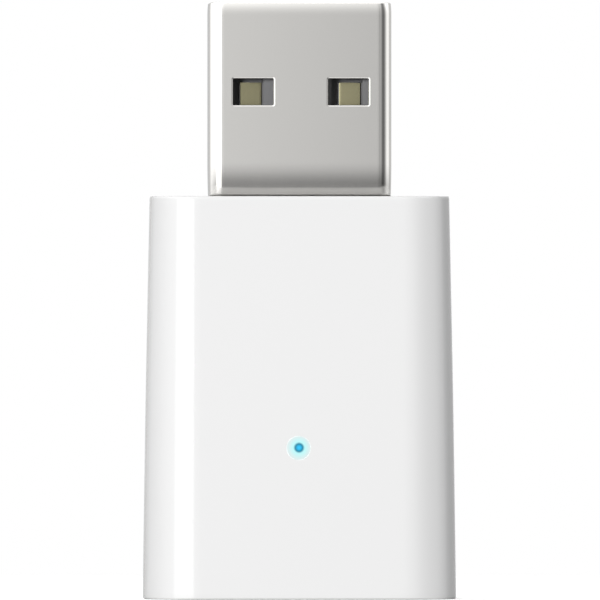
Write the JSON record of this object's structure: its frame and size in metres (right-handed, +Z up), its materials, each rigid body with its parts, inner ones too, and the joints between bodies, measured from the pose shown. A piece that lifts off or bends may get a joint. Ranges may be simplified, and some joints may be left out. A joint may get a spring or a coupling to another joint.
{
  "type": "usb zigbee repeater",
  "caption": "Small white USB-A Zigbee repeater: tapered two-shell moulded housing, plated plug with contact windows, and a blue status light on the front.",
  "frame": {"origin": "middle of the flat base end that it stands on, at the height of that base", "axes": "+Z up along the plug towards its mouth, +X to the right seen from the front, +Y towards the back; the light faces -Y"},
  "size_m": [0.0206, 0.0098, 0.0391],
  "materials": {
    "housing_plastic": "smooth moulded, glossy white",
    "light_guide": "clear moulded light guide, lit blue",
    "plated_steel": "nickel-plated folded sheet, satin bright",
    "insulator_plastic": "moulded, grey",
    "contact_gold": "gold plated",
    "board_laminate": "glass-fibre laminate with green mask",
    "copper_trace": "printed copper under mask",
    "can_steel": "tinned pressed sheet",
    "package_plastic": "moulded chip package, black",
    "chip_ceramic": "fired ceramic with tinned ends",
    "crystal_metal": "plated lid on a ceramic tray",
    "lamp_resin": "clear resin over a blue lamp chip",
    "solder_tin": "wetted solder"
  },
  "bodies": {
    "root": {"front_cover": "housing_plastic", "rear_cover": "housing_plastic", "light_pipe": "light_guide", "usb_shell": "plated_steel", "usb_insulator": "insulator_plastic", "usb_contact_power": "contact_gold", "usb_contact_data_minus": "contact_gold", "usb_contact_data_plus": "contact_gold", "usb_contact_ground": "contact_gold", "circuit_board": "board_laminate", "antenna_trace": "copper_trace", "shield_can": "can_steel", "radio_chip": "package_plastic", "crystal": "crystal_metal", "voltage_regulator": "package_plastic", "surge_diode": "package_plastic", "input_capacitor": "chip_ceramic", "output_capacitor": "chip_ceramic", "ferrite_bead": "chip_ceramic", "bypass_capacitor_1": "chip_ceramic", "bypass_capacitor_2": "chip_ceramic", "pull_up_resistor": "chip_ceramic", "led_resistor": "chip_ceramic", "matching_coil": "chip_ceramic", "matching_capacitor": "chip_ceramic", "status_led": "lamp_resin", "tab_solder_left": "solder_tin", "tab_solder_right": "solder_tin"}
  },
  "joints": []
}
